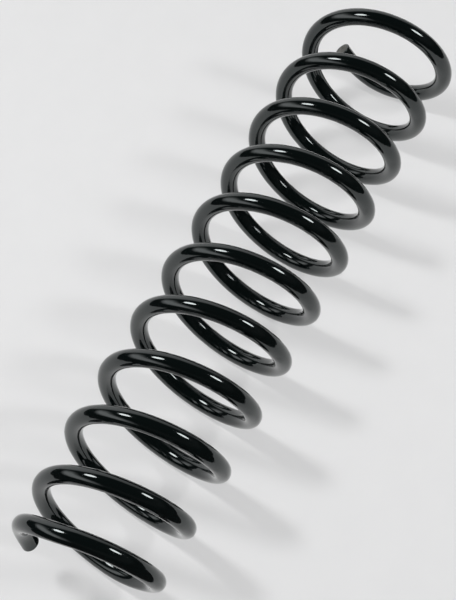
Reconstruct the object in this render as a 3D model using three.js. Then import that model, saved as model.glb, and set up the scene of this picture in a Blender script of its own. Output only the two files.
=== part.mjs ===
// Automotive coil spring: one round steel wire, coated gloss black, wound right-handed into an open
// helix with unground ends. The spring lies on its side: its axis is +X, the axle end is at -X, the
// body end at +X, and the origin is on the ground under the middle of its length. Millimetres, +Z up.
//
// The real spring is a single wire that flexes all along its length. Here the wire is cut at radial
// planes into half-turn stretches, so that the stretches can close up on each other as coils do.
import * as THREE from "three";

// Driving dimensions, in millimetres, turns and degrees.
const WIRE_DIAMETER = 12.5;
const MEAN_COIL_RADIUS = 50;
const PITCH = 44.7; // axial advance of the free wire in one turn, between the end coils
const TURNS = 10.945;
const START_ANGLE = -23.5; // where the axle-end tip lies, turning from +Y towards +Z

// The axle end's coils are closed and drawn in a little, and the body end's last coil is closed and
// opened out: {amount: millimetres, from, over: turns from the tip}.
const AXLE_TIP_TUCK = { amount: 13.3, from: 0, over: 0.3 };
const AXLE_TIP_DRAW_IN = { amount: 3.7, from: 0, over: 0.29 };
const AXLE_COIL_SET = { amount: 4.5, from: 0.6, over: 0.2 };
const AXLE_COIL_DRAW_IN = { amount: 2.2, from: 1.4, over: 0.9 };
const BODY_COIL_SET = { amount: 4.4, from: 0.09, over: 0.22 };
const BODY_COIL_OPEN = { amount: 1, from: 0.4, over: 0.4 };

// How the wire is faceted and cut.
const WIRE_SIDES = 12;
const STEP_ANGLE = 10; // between two rings of the faceted wire
const RING_OFFSET = 5; // rings lie at 5, 15, 25... degrees, so the coils rest on flats
const FIRST_CUT_ANGLE = 175;
const STRETCH_ANGLE = 180;
const CUT_GAP = 0.3; // between two stretches, at the inside of the coil

const COAT = { color: 0x0b0c0e, roughness: 0.2, metalness: 0.0 };

// A polygon with this circumradius has the same area as the round wire.
const SECTION_RADIUS =
  (WIRE_DIAMETER / 2) *
  Math.sqrt((2 * Math.PI) / (WIRE_SIDES * Math.sin((2 * Math.PI) / WIRE_SIDES)));
// A section in a radial plane is stretched along the axis, because the wire crosses it at the lead angle.
const AXIAL_STRETCH = Math.hypot(1, PITCH / (2 * Math.PI * MEAN_COIL_RADIUS));
const HALF_GAP_ANGLE = THREE.MathUtils.radToDeg(
  CUT_GAP / 2 / (MEAN_COIL_RADIUS - WIRE_DIAMETER / 2),
);
const END_ANGLE = START_ANGLE + 360 * TURNS;

// The whole amount up to `from` turns from the tip, fading smoothly to nothing over the next `over` turns.
function endForm(form, turnsFromTip) {
  return form.amount * (1 - THREE.MathUtils.smoothstep(turnsFromTip, form.from, form.from + form.over));
}

// Where the wire's centre is at an angle in degrees, counted on through all the turns.
function centreLine(angle) {
  const fromAxleTip = (angle - START_ANGLE) / 360;
  const fromBodyTip = TURNS - fromAxleTip;
  const axial =
    PITCH * fromAxleTip +
    endForm(AXLE_TIP_TUCK, fromAxleTip) +
    endForm(AXLE_COIL_SET, fromAxleTip) -
    endForm(BODY_COIL_SET, fromBodyTip);
  const radius =
    MEAN_COIL_RADIUS -
    endForm(AXLE_TIP_DRAW_IN, fromAxleTip) -
    endForm(AXLE_COIL_DRAW_IN, fromAxleTip) +
    endForm(BODY_COIL_OPEN, fromBodyTip);
  return { axial, radius };
}

// The angles of a stretch's rings: its two ends, and every step between them.
function ringAngles(from, to) {
  const first = Math.floor((from - RING_OFFSET) / STEP_ANGLE) + 1;
  const angles = [from];
  for (let i = first; RING_OFFSET + i * STEP_ANGLE < to; i += 1) {
    const angle = RING_OFFSET + i * STEP_ANGLE;
    if (angle - from > STEP_ANGLE / 4 && to - angle > STEP_ANGLE / 4) angles.push(angle);
  }
  angles.push(to);
  return angles;
}

// A closed cylinder, bent so that its rows of vertices stand in radial planes along the helix.
function wireStretch(from, to) {
  const angles = ringAngles(from, to);
  const rows = angles.length - 1;
  const geometry = new THREE.CylinderGeometry(
    SECTION_RADIUS,
    SECTION_RADIUS,
    rows,
    WIRE_SIDES,
    rows,
    false,
    Math.PI / WIRE_SIDES,
  );
  const position = geometry.getAttribute("position");
  for (let i = 0; i < position.count; i += 1) {
    const angle = angles[Math.round(position.getY(i) + rows / 2)];
    const { axial, radius } = centreLine(angle);
    const distance = radius - position.getZ(i);
    const turned = THREE.MathUtils.degToRad(angle);
    position.setXYZ(
      i,
      axial + position.getX(i) * AXIAL_STRETCH,
      distance * Math.cos(turned),
      distance * Math.sin(turned),
    );
  }
  geometry.computeVertexNormals();
  return geometry;
}

// One named stretch of the wire.
function addStretch(group, name, from, to) {
  const mesh = new THREE.Mesh(wireStretch(from, to), new THREE.MeshStandardMaterial(COAT));
  mesh.name = name;
  group.add(mesh);
}

function buildSpring() {
  const spring = new THREE.Group();
  addStretch(spring, "axle_end_tail", START_ANGLE, FIRST_CUT_ANGLE - HALF_GAP_ANGLE);
  const halves = Math.floor((END_ANGLE - FIRST_CUT_ANGLE) / STRETCH_ANGLE);
  for (let i = 0; i < halves; i += 1) {
    const coil = String(Math.floor(i / 2) + 1).padStart(2, "0");
    const side = i % 2 === 0 ? "under" : "over";
    const from = FIRST_CUT_ANGLE + i * STRETCH_ANGLE;
    const to = from + STRETCH_ANGLE;
    addStretch(spring, `coil_${coil}_${side}`, from + HALF_GAP_ANGLE, to - HALF_GAP_ANGLE);
  }
  const lastCut = FIRST_CUT_ANGLE + halves * STRETCH_ANGLE;
  addStretch(spring, "body_end_tail", lastCut + HALF_GAP_ANGLE, END_ANGLE);
  return spring;
}

// The coils' lowest flats rest on the ground, and the origin is halfway along the spring.
const spring = buildSpring();
const box = new THREE.Box3().setFromObject(spring, true);
spring.position.set(-(box.min.x + box.max.x) / 2, -(box.min.y + box.max.y) / 2, -box.min.z);

export default spring;
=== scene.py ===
import math

import bpy
import numpy as np
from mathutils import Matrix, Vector


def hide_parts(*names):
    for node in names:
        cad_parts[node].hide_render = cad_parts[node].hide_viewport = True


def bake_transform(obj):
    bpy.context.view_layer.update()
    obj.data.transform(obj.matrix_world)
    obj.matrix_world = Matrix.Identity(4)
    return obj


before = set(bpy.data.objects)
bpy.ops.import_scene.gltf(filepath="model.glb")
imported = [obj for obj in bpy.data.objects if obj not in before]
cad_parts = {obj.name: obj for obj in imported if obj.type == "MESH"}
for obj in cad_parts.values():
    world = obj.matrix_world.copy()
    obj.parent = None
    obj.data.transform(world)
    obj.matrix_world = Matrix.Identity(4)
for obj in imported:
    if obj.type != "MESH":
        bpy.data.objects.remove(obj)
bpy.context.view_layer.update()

MM = 0.001

# ------------------------------------------------------------ the wire's route, in millimetres and turns
# These repeat part.mjs, so that the smooth wire runs where the CAD wire runs.
WIRE_DIAMETER = 12.5
MEAN_COIL_RADIUS = 50.0
PITCH = 44.7
TURNS = 10.945
START_ANGLE = -23.5  # degrees, from +Y towards +Z
AXIS_START = (-250.7372, 0.4982, 56.9603)  # the point on the coil axis at the axle tip's 0 turns

# A section in a radial plane is stretched along the axis, because the wire crosses it at the lead angle.
AXIAL_STRETCH = math.hypot(1.0, PITCH / (2.0 * math.pi * MEAN_COIL_RADIUS))

# How the end coils differ from the others: (millimetres, from, over), both in turns from the tip.
AXLE_TIP_TUCK = (13.3, 0.0, 0.3)
AXLE_TIP_DRAW_IN = (3.7, 0.0, 0.29)
AXLE_COIL_SET = (4.5, 0.6, 0.2)
AXLE_COIL_DRAW_IN = (2.2, 1.4, 0.9)
BODY_COIL_SET = (4.4, 0.09, 0.22)
BODY_COIL_OPEN = (1.0, 0.4, 0.4)

# ------------------------------------------------------------ how finely the wire is made
RING_STEP = 2.5  # degrees between two rings of vertices
SECTION_SIDES = 32
COAT_SLOT, CUT_SLOT = 0, 1  # the order in which the wire's two materials are added

# Each tip's rings: (millimetres back from the cut, share of the section radius). The rim is slightly
# rounded, and the cut face is slightly uneven.
TIP_RIM = [(0.9, 1.0), (0.5, 0.997), (0.26, 0.988), (0.11, 0.974), (0.03, 0.957), (0.0, 0.935)]
TIP_FACE = [(-0.02, 0.75), (0.03, 0.55), (-0.02, 0.35), (0.02, 0.15)]

# ------------------------------------------------------------ surfaces
# Noise scales are in cells a metre and heights in metres. Levels are the stretch of the noise's values
# over which an effect goes from nothing to its full amount.

# The wire's coating, with its haze, dust and orange peel.
COAT_IOR = 1.62
COAT_SPECULAR_TINT = (0.93, 1.0, 1.0, 1.0)
COAT_BLACK = (0.0010, 0.0026, 0.0026)
COAT_ROUGHNESS = (0.055, 0.10)  # from clear gloss to handling haze
HAZE_SCALE = 55.0
HAZE_LEVELS = (0.35, 0.72)
DUST_GREY = (0.020, 0.020, 0.020)
DUST_SCALE = 2600.0
DUST_LEVELS = (0.70, 0.80)
DUST_HEIGHT = 0.00003
PEEL_SCALE = 420.0
PEEL_HEIGHT = 0.00006

# The two cut faces, patchy and grained.
CUT_DARK = (0.040, 0.040, 0.036)
CUT_PALE = (0.130, 0.130, 0.118)
CUT_ROUGHNESS = (0.45, 0.75)
PATCH_SCALE = 260.0
PATCH_LEVELS = (0.35, 0.65)
GRAIN_SCALE = 900.0
GRAIN_LEVELS = (0.3, 0.7)
GRAIN_HEIGHT = 0.0004

# The studio's paper, and a copy of it painted brighter than the floor so that the wire's gloss reflects
# more light.
MOTTLE_SCALE = 40.0
MOTTLE_LEVELS = (0.3, 0.7)
PAPER_ROUGHNESS = 0.9
PAPER_SPECULAR = 0.1
FLOOR_SHADES = (0.800, 0.800, 0.805), (0.812, 0.812, 0.816)
# Painted light: the reflected sheet is painted lighter than the floor's paper, to brighten the wire's
# reflections.
PAINTED_BRIGHT_PAPER_SHADES = (0.93, 0.93, 0.93), (0.95, 0.95, 0.95)

# ------------------------------------------------------------ camera and studio, in metres
CAMERA_PLACE = (-0.43202, -0.20918, 0.95122)
CAMERA_DIRECTION = (0.4067, 0.2132, -0.8883)
CAMERA_LENS = 86.7  # millimetres
CAMERA_SENSOR = 36.0  # millimetres

SPRING_MIDDLE = Vector((0.0, 0.0, 0.05))
FLOOR_LEVEL = -0.0003
FLOOR_HALF = 8.0

# The paper under the spring, as its gloss shows it: where its edges are along the heading from the origin,
# and to the right of it.
PAPER_HEADING = math.radians(26.0)
PAPER_REACH = (-0.28, 3.0)
PAPER_SIDE = (-0.75, 0.53)

# Behind the spring the paper rises out of the floor. Its edges are soft, and it is brighter on the left.
PAPER_EDGE = (0.62, 0.75)  # cosine of the angle from the heading
PAPER_TOP = (0.54, 0.70)  # sine of the elevation
PAPER_GLOW_FROM = (-0.6, 0.25)  # sine of the angle left of the heading
PAPER_GLOW = (0.75, 1.30)

# A pale patch of wall to the left of that, by the same measures.
WALL_HEADING = math.radians(127.0)
WALL_EDGE = (0.62, 0.84)
WALL_FOOT = (0.18, 0.32)
WALL_TOP = (0.48, 0.64)
WALL_BRIGHT = 2.0

ROOM_DARK = 0.045  # the rest of the room
BACKDROP = 0.66  # what the camera sees past the floor
FADE_IN = (0.0, 1.0)
FADE_OUT = (1.0, 0.0)

# How wide each softbox's two lamps are, and how far out the glint's lamp is as a share of the other's.
SOFTBOX_LIGHT_SIZE = 0.20
SOFTBOX_GLINT_SIZE = 0.36
GLINT_NEARER = 0.94
FILL_SPREAD = 120.0  # degrees


# ------------------------------------------------------------ the wire's route
def smoothstep(x, low, high):
    """0 below low, 1 above high, and a smooth rise between them."""
    t = np.clip((x - low) / (high - low), 0.0, 1.0)
    return t * t * (3.0 - 2.0 * t)


def end_form(form, turns_from_tip):
    """The whole amount up to `start` turns from the tip, fading to nothing over the next `over` turns."""
    amount, start, over = form
    return amount * (1.0 - smoothstep(turns_from_tip, start, start + over))


def centre_line(turns):
    """The wire's centre, this many turns from the axle tip: place along the axis, and distance from it."""
    from_body_tip = TURNS - turns
    axial = (
        PITCH * turns
        + end_form(AXLE_TIP_TUCK, turns)
        + end_form(AXLE_COIL_SET, turns)
        - end_form(BODY_COIL_SET, from_body_tip)
    )
    radius = (
        MEAN_COIL_RADIUS
        - end_form(AXLE_TIP_DRAW_IN, turns)
        - end_form(AXLE_COIL_DRAW_IN, turns)
        + end_form(BODY_COIL_OPEN, from_body_tip)
    )
    return axial, radius


# ------------------------------------------------------------ wire mesh
def wire_rings():
    """(turns, share of the section radius, on a cut face) of every ring of vertices, from tip to tip."""
    mm_per_turn = 2.0 * math.pi * MEAN_COIL_RADIUS
    tip = [(back / mm_per_turn, share, False) for back, share in TIP_RIM]
    tip += [(back / mm_per_turn, share, True) for back, share in TIP_FACE]
    first = tip[0][0]
    last = TURNS - first
    count = int(round((last - first) * 360.0 / RING_STEP))
    plain = [(turns, 1.0, False) for turns in np.linspace(first, last, count + 1)[1:-1]]
    axle_tip = list(reversed(tip))
    body_tip = [(TURNS - turns, share, on_face) for turns, share, on_face in tip]
    return axle_tip + plain + body_tip


def wire_points(turns, share):
    """Every ring's vertices in metres, ring by ring, and then the middle of each cut face."""
    axial, radius = centre_line(np.clip(turns, 0.0, TURNS))
    angle = np.radians(START_ANGLE + 360.0 * turns)
    around = np.radians(np.arange(SECTION_SIDES) * 360.0 / SECTION_SIDES)
    across = WIRE_DIAMETER / 2.0 * share[:, None]
    x = axial[:, None] + across * np.cos(around) * AXIAL_STRETCH
    out = radius[:, None] + across * np.sin(around)
    y = out * np.cos(angle)[:, None]
    z = out * np.sin(angle)[:, None]
    rings = np.stack([x, y, z], axis=2).reshape(-1, 3)
    middles = [
        [axial[i], radius[i] * math.cos(angle[i]), radius[i] * math.sin(angle[i])] for i in (0, -1)
    ]
    return (np.vstack([rings, middles]) + np.array(AXIS_START)) * MM


def wire_faces(ring_count):
    """The tube's four-sided faces, and the triangles that close its two ends."""
    faces = []
    for i in range(ring_count - 1):
        near = i * SECTION_SIDES
        far = near + SECTION_SIDES
        for j in range(SECTION_SIDES):
            k = (j + 1) % SECTION_SIDES
            faces.append((near + j, near + k, far + k, far + j))
    axle_middle = ring_count * SECTION_SIDES
    body_middle = axle_middle + 1
    last_ring = (ring_count - 1) * SECTION_SIDES
    for j in range(SECTION_SIDES):
        k = (j + 1) % SECTION_SIDES
        faces.append((axle_middle, k, j))
        faces.append((body_middle, last_ring + j, last_ring + k))
    return faces


def per_vertex(per_ring):
    """A value for each ring, repeated for its vertices and for the middle of each cut face."""
    return np.concatenate([np.repeat(per_ring, SECTION_SIDES), [per_ring[0], per_ring[-1]]])


def build_wire():
    """The coil spring as one round wire: its mesh object, and each vertex's place along it in turns."""
    rings = wire_rings()
    turns = np.array([ring[0] for ring in rings])
    share = np.array([ring[1] for ring in rings])
    on_face = per_vertex([ring[2] for ring in rings])
    mesh = bpy.data.meshes.new("spring_wire")
    mesh.from_pydata([tuple(point) for point in wire_points(turns, share)], [], wire_faces(len(rings)))
    mesh.update()
    for polygon in mesh.polygons:
        polygon.use_smooth = True
        is_cut = all(on_face[vertex] for vertex in polygon.vertices)
        polygon.material_index = CUT_SLOT if is_cut else COAT_SLOT
    wire = bpy.data.objects.new("spring_wire", mesh)
    bpy.context.scene.collection.objects.link(wire)
    return wire, np.clip(per_vertex(turns), 0.0, TURNS)


# ------------------------------------------------------------ nodes
def new_material(name):
    """An empty node material: its node tree, and the Principled shader in it."""
    material = bpy.data.materials.new(name)
    material.use_nodes = True
    tree = material.node_tree
    tree.nodes.clear()
    output = tree.nodes.new("ShaderNodeOutputMaterial")
    shader = tree.nodes.new("ShaderNodeBsdfPrincipled")
    tree.links.new(shader.outputs["BSDF"], output.inputs["Surface"])
    return material, tree, shader


def noise(tree, scale, detail, roughness=0.5):
    """A noise texture in object space, with scale in cells a metre."""
    coordinates = tree.nodes.new("ShaderNodeTexCoord")
    texture = tree.nodes.new("ShaderNodeTexNoise")
    texture.inputs["Scale"].default_value = scale
    texture.inputs["Detail"].default_value = detail
    texture.inputs["Roughness"].default_value = roughness
    tree.links.new(coordinates.outputs["Object"], texture.inputs["Vector"])
    return texture.outputs["Fac"]


def to_range(tree, value, old, new):
    """A value mapped from the range `old` to the range `new`, and held there."""
    node = tree.nodes.new("ShaderNodeMapRange")
    node.inputs["From Min"].default_value = old[0]
    node.inputs["From Max"].default_value = old[1]
    node.inputs["To Min"].default_value = new[0]
    node.inputs["To Max"].default_value = new[1]
    tree.links.new(value, node.inputs["Value"])
    return node.outputs["Result"]


def mix_colours(tree, factor, first, second):
    """The first colour where factor is 0, and the second where it is 1."""
    node = tree.nodes.new("ShaderNodeMix")
    node.data_type = "RGBA"
    node.inputs["A"].default_value = (*first, 1.0)
    node.inputs["B"].default_value = (*second, 1.0)
    tree.links.new(factor, node.inputs["Factor"])
    return node.outputs["Result"]


def bump(tree, height, distance, strength, under=None):
    """A bumped normal, on top of another one if `under` is given."""
    node = tree.nodes.new("ShaderNodeBump")
    node.inputs["Distance"].default_value = distance
    node.inputs["Strength"].default_value = strength
    tree.links.new(height, node.inputs["Height"])
    if under is not None:
        tree.links.new(under, node.inputs["Normal"])
    return node.outputs["Normal"]


def combine(tree, operation, first, second):
    """Two values put together by a math operation."""
    node = tree.nodes.new("ShaderNodeMath")
    node.operation = operation
    tree.links.new(first, node.inputs[0])
    tree.links.new(second, node.inputs[1])
    return node.outputs["Value"]


def toward(tree, direction, heading):
    """How far a direction points towards a level heading: 1 straight at it, -1 straight away."""
    node = tree.nodes.new("ShaderNodeVectorMath")
    node.operation = "DOT_PRODUCT"
    node.inputs[1].default_value = (math.cos(heading), math.sin(heading), 0.0)
    tree.links.new(direction, node.inputs[0])
    return node.outputs["Value"]


# ------------------------------------------------------------ materials
def black_coat():
    """Gloss black coating: nearly black, with a sprayed coat's orange peel, dust nibs and handling haze."""
    material, tree, shader = new_material("black_coat")
    shader.inputs["IOR"].default_value = COAT_IOR
    shader.inputs["Specular Tint"].default_value = COAT_SPECULAR_TINT
    haze = noise(tree, HAZE_SCALE, detail=4.0)
    tree.links.new(to_range(tree, haze, HAZE_LEVELS, COAT_ROUGHNESS), shader.inputs["Roughness"])
    specks = to_range(tree, noise(tree, DUST_SCALE, detail=2.0), DUST_LEVELS, FADE_IN)
    tree.links.new(mix_colours(tree, specks, COAT_BLACK, DUST_GREY), shader.inputs["Base Color"])
    peel = bump(tree, noise(tree, PEEL_SCALE, detail=2.0), PEEL_HEIGHT, strength=0.35)
    nibs = bump(tree, specks, DUST_HEIGHT, strength=0.5, under=peel)
    tree.links.new(nibs, shader.inputs["Normal"])
    return material


def sheared_end():
    """The coated face of the cut: matt and patchy, with the coarse grain that the shear left."""
    material, tree, shader = new_material("sheared_end")
    patches = to_range(tree, noise(tree, PATCH_SCALE, detail=3.0), PATCH_LEVELS, FADE_IN)
    tree.links.new(mix_colours(tree, patches, CUT_DARK, CUT_PALE), shader.inputs["Base Color"])
    grain = noise(tree, GRAIN_SCALE, detail=6.0, roughness=0.65)
    tree.links.new(to_range(tree, grain, GRAIN_LEVELS, CUT_ROUGHNESS), shader.inputs["Roughness"])
    tree.links.new(bump(tree, grain, GRAIN_HEIGHT, strength=0.8), shader.inputs["Normal"])
    return material


def matt_paper(name, shades):
    """Pale matt studio paper, mottled between two shades."""
    material, tree, shader = new_material(name)
    mottle = to_range(tree, noise(tree, MOTTLE_SCALE, detail=5.0), MOTTLE_LEVELS, FADE_IN)
    tree.links.new(mix_colours(tree, mottle, *shades), shader.inputs["Base Color"])
    shader.inputs["Roughness"].default_value = PAPER_ROUGHNESS
    shader.inputs["Specular IOR Level"].default_value = PAPER_SPECULAR
    return material


# ------------------------------------------------------------ studio
def flat_sheet(name, corners, material):
    """A flat sheet at the level of the floor, with its corners in metres."""
    mesh = bpy.data.meshes.new(name)
    mesh.from_pydata([(x, y, FLOOR_LEVEL) for x, y in corners], [], [(0, 1, 2, 3)])
    sheet = bpy.data.objects.new(name, mesh)
    sheet.data.materials.append(material)
    sheet.visible_shadow = False
    bpy.context.scene.collection.objects.link(sheet)
    return sheet


def build_floor():
    """The floor all around, which the gloss of the wire doesn't reflect."""
    sides = ((-1, -1), (1, -1), (1, 1), (-1, 1))
    corners = [(x * FLOOR_HALF, y * FLOOR_HALF) for x, y in sides]
    floor = flat_sheet("studio_floor", corners, matt_paper("floor_paper", FLOOR_SHADES))
    floor.visible_glossy = False


def build_reflected_paper():
    """The sheet of paper that the gloss of the wire reflects, which the camera doesn't see; painted
    brighter than the floor.
    """
    along = Vector((math.cos(PAPER_HEADING), math.sin(PAPER_HEADING)))
    across = Vector((along.y, -along.x))
    near, far = PAPER_REACH
    left, right = PAPER_SIDE
    places = ((near, left), (near, right), (far, right), (far, left))
    corners = [along * reach + across * side for reach, side in places]
    # Painted reflection: this sheet's paper is painted brighter than the floor's, so the wire's gloss shows
    # more light.
    sheet = flat_sheet("reflected_paper", corners, matt_paper("painted_bright_paper", PAINTED_BRIGHT_PAPER_SHADES))
    sheet.visible_camera = False
    sheet.visible_diffuse = False


def facing_lamp(name, place, size):
    """A round area lamp, unseen by the camera, that faces the middle of the spring."""
    light = bpy.data.lights.new(name, "AREA")
    light.shape = "DISK"
    light.size = size
    lamp = bpy.data.objects.new(name, light)
    lamp.location = place
    lamp.rotation_euler = (SPRING_MIDDLE - lamp.location).to_track_quat("-Z", "Y").to_euler()
    lamp.visible_camera = False
    bpy.context.scene.collection.objects.link(lamp)
    return lamp


def softbox(name, place, lights_floor, glint):
    """A round soft light, as two lamps: one that lights the floor, and one that shows in the gloss.

    lights_floor is the light that it throws on the spring's middle, in watts a square metre, and glint is
    how bright its face looks in the gloss of the wire. The lamp for the glint stands a little nearer,
    because the other one would hide it if they stood in one plane.
    """
    lamp = facing_lamp(f"{name}_light", place, SOFTBOX_LIGHT_SIZE)
    distance = (SPRING_MIDDLE - lamp.location).length
    lamp.data.energy = lights_floor * math.pi * distance ** 2
    lamp.visible_glossy = False

    lamp = facing_lamp(f"{name}_glint", place, SOFTBOX_GLINT_SIZE)
    lamp.location = lamp.location * GLINT_NEARER
    face_area = math.pi * SOFTBOX_GLINT_SIZE ** 2 / 4.0
    lamp.data.energy = glint * math.pi * face_area
    lamp.visible_diffuse = False


def room_fill(name, irradiance, casts_shadow):
    """The room's own soft light from above, in watts a square metre, which lights the floor evenly.

    With multiple importance sampling, a light as wide as this still casts some shadow when it is told not
    to, so a fill without shadows does without it.
    """
    light = bpy.data.lights.new(name, "SUN")
    light.energy = irradiance
    light.angle = math.radians(FILL_SPREAD)
    light.use_shadow = casts_shadow
    light.cycles.use_multiple_importance_sampling = casts_shadow
    lamp = bpy.data.objects.new(name, light)
    lamp.visible_glossy = False
    bpy.context.scene.collection.objects.link(lamp)


def rising_paper(tree, direction, height):
    """How bright the paper behind the spring is in each direction, and 0 past its edges."""
    sides = to_range(tree, toward(tree, direction, PAPER_HEADING), PAPER_EDGE, FADE_IN)
    top = to_range(tree, height, PAPER_TOP, FADE_OUT)
    leftward = toward(tree, direction, PAPER_HEADING + math.pi / 2.0)
    glow = to_range(tree, leftward, PAPER_GLOW_FROM, PAPER_GLOW)
    return combine(tree, "MULTIPLY", combine(tree, "MULTIPLY", sides, top), glow)


def pale_wall(tree, direction, height):
    """How bright the patch of wall is in each direction, and next to nothing past its edges."""
    foot = to_range(tree, height, WALL_FOOT, FADE_IN)
    top = to_range(tree, height, WALL_TOP, FADE_OUT)
    glow = to_range(tree, toward(tree, direction, WALL_HEADING), WALL_EDGE, (ROOM_DARK, WALL_BRIGHT))
    return combine(tree, "MULTIPLY", combine(tree, "MULTIPLY", foot, top), glow)


def build_world():
    """The room that the gloss reflects, which doesn't light the floor.

    Past the floor's edge the camera sees a plain backdrop in its place, and no other ray does.
    """
    world = bpy.data.worlds.new("studio_room")
    bpy.context.scene.world = world
    world.cycles_visibility.diffuse = False
    world.use_nodes = True
    tree = world.node_tree
    tree.nodes.clear()
    output = tree.nodes.new("ShaderNodeOutputWorld")
    background = tree.nodes.new("ShaderNodeBackground")
    tree.links.new(background.outputs["Background"], output.inputs["Surface"])
    coordinates = tree.nodes.new("ShaderNodeTexCoord")
    direction = coordinates.outputs["Generated"]
    parts = tree.nodes.new("ShaderNodeSeparateXYZ")
    tree.links.new(direction, parts.inputs["Vector"])
    height = parts.outputs["Z"]

    paper = rising_paper(tree, direction, height)
    wall = pale_wall(tree, direction, height)
    pale = combine(tree, "MAXIMUM", paper, wall)
    room = to_range(tree, pale, (0.0, WALL_BRIGHT), (ROOM_DARK, WALL_BRIGHT))
    rays = tree.nodes.new("ShaderNodeLightPath")
    seen = tree.nodes.new("ShaderNodeMix")
    seen.data_type = "FLOAT"
    seen.inputs["B"].default_value = BACKDROP
    tree.links.new(rays.outputs["Is Camera Ray"], seen.inputs["Factor"])
    tree.links.new(room, seen.inputs["A"])
    tree.links.new(seen.outputs["Result"], background.inputs["Strength"])


def build_camera():
    """The camera, where the photograph was taken from."""
    data = bpy.data.cameras.new("camera")
    data.sensor_width = CAMERA_SENSOR
    data.lens = CAMERA_LENS
    camera = bpy.data.objects.new("camera", data)
    camera.location = CAMERA_PLACE
    camera.rotation_euler = Vector(CAMERA_DIRECTION).to_track_quat("-Z", "Y").to_euler()
    bpy.context.scene.collection.objects.link(camera)
    bpy.context.scene.camera = camera


# ------------------------------------------------------------ the scene
build_camera()
build_floor()
build_reflected_paper()
build_world()
softbox("softbox_right", (0.40, -0.84, 0.95), lights_floor=0.46, glint=14.0)
softbox("softbox_left", (-0.17, 0.72, 1.13), lights_floor=0.76, glint=14.0)
room_fill("overhead_fill", irradiance=0.28, casts_shadow=True)
room_fill("bounce_fill", irradiance=1.84, casts_shadow=False)
bpy.context.scene.view_settings.view_transform = "Standard"

wire, vertex_turns = build_wire()
wire.data.materials.append(black_coat())
wire.data.materials.append(sheared_end())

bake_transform(wire)
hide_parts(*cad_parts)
